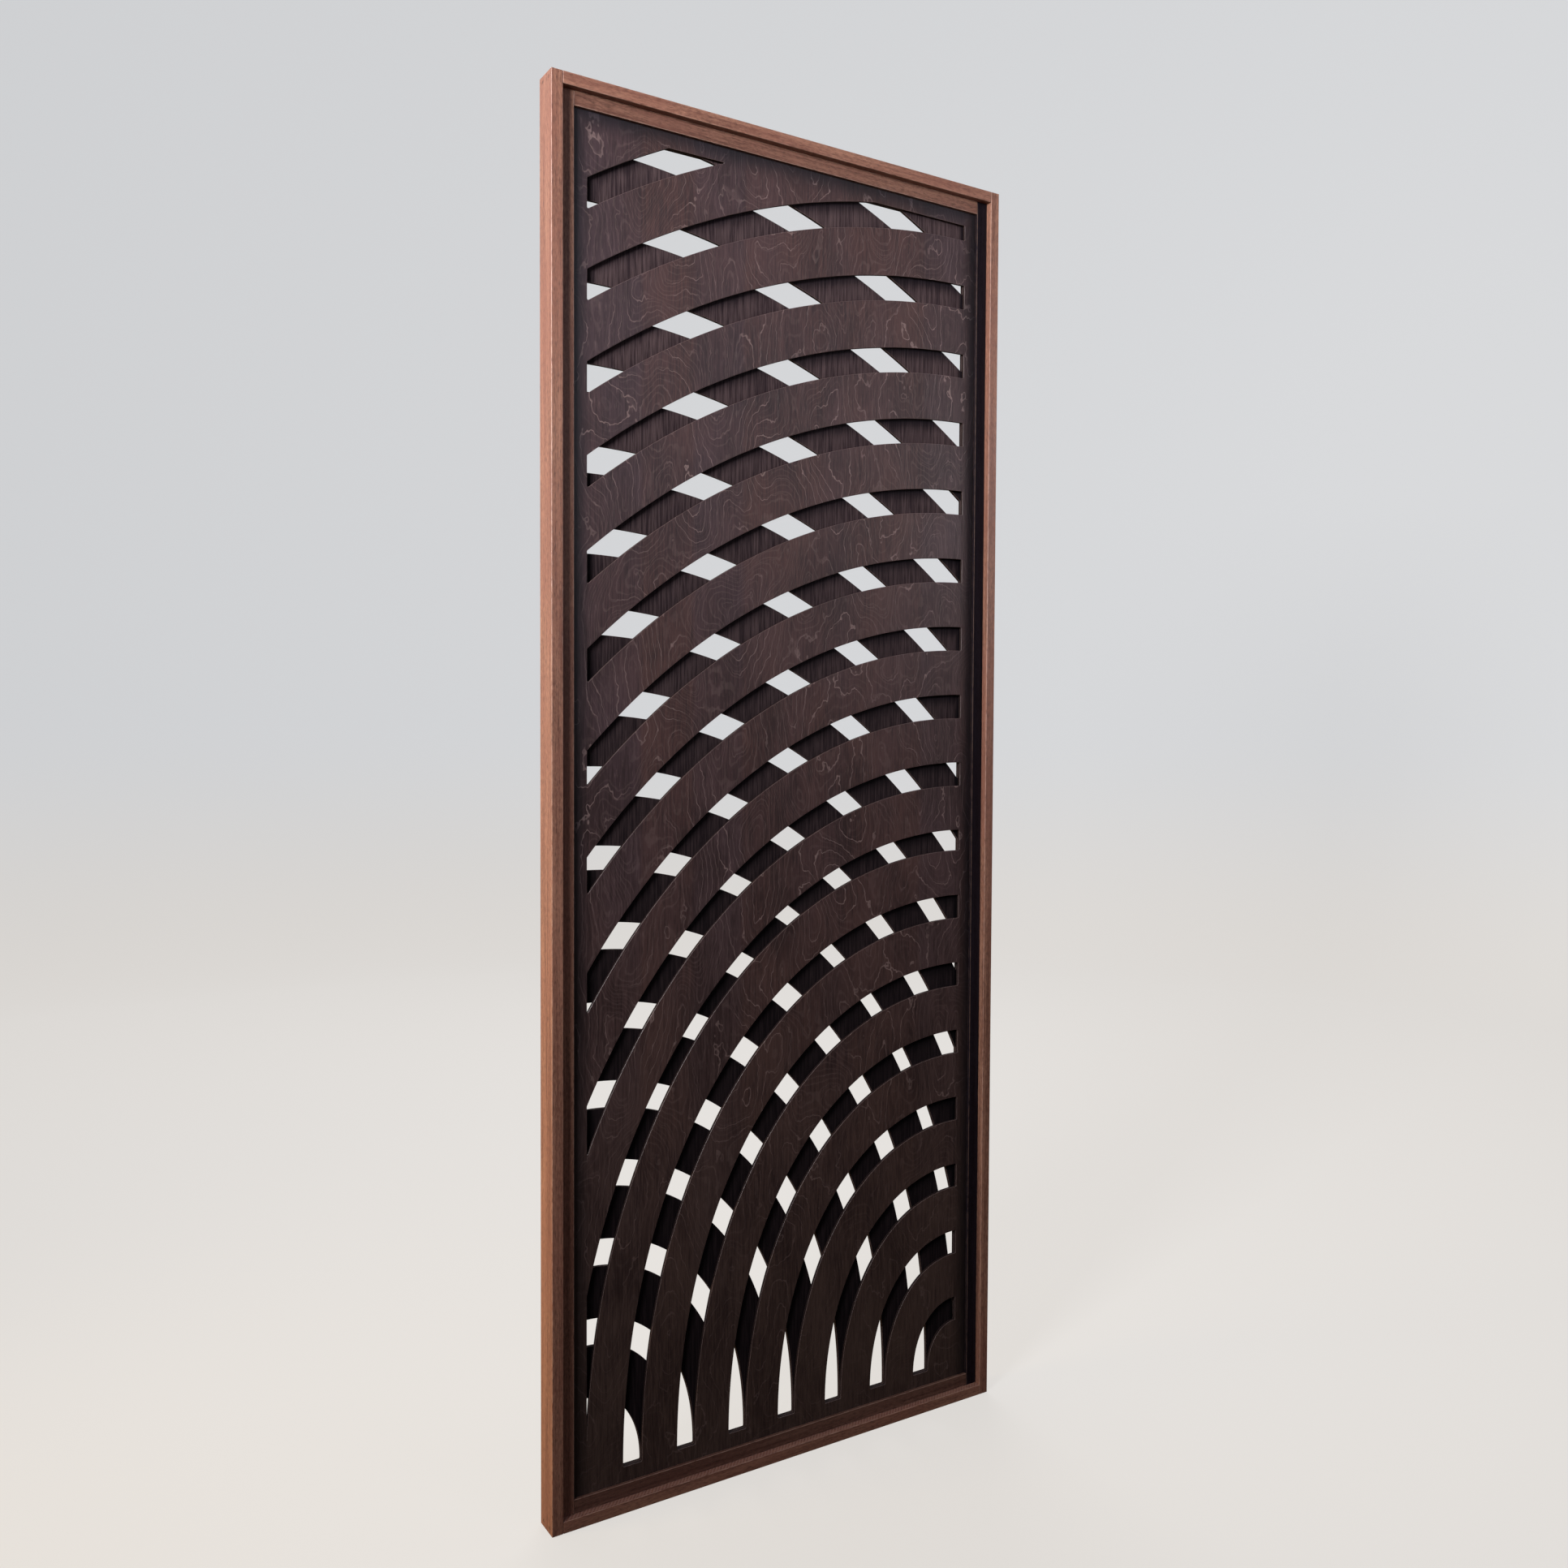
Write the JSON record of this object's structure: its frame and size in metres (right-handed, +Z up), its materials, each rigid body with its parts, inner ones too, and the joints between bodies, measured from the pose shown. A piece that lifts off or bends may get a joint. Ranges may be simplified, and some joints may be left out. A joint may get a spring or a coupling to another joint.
{
  "type": "framed slotted timber privacy screen",
  "caption": "Tall upright privacy screen: a slim hardwood frame with beads around two plywood sheets, cut with crossing ring slots that let light through in diamonds.",
  "frame": {"origin": "middle of the frame's underside, on the floor", "axes": "+X across the screen to the right as seen from the front, +Y from the front to the back, +Z up"},
  "size_m": [0.94, 0.05, 2.4],
  "materials": {
    "frame_wood": "red-brown stained hardwood, satin, straight grain along each board",
    "bead_wood": "darker red-brown stained hardwood, satin, straight grain",
    "stained_plywood": "near-black purple-brown stained plywood, low sheen, fine wavy grain lines"
  },
  "bodies": {
    "root": {"frame_stile_left": "frame_wood", "frame_stile_right": "frame_wood", "frame_rail_top": "frame_wood", "frame_rail_bottom": "frame_wood", "bead_front_left": "bead_wood", "bead_front_right": "bead_wood", "bead_front_top": "bead_wood", "bead_front_bottom": "bead_wood", "bead_back_left": "bead_wood", "bead_back_right": "bead_wood", "bead_back_top": "bead_wood", "bead_back_bottom": "bead_wood", "sheet_front": "stained_plywood", "sheet_back": "stained_plywood"}
  },
  "joints": []
}
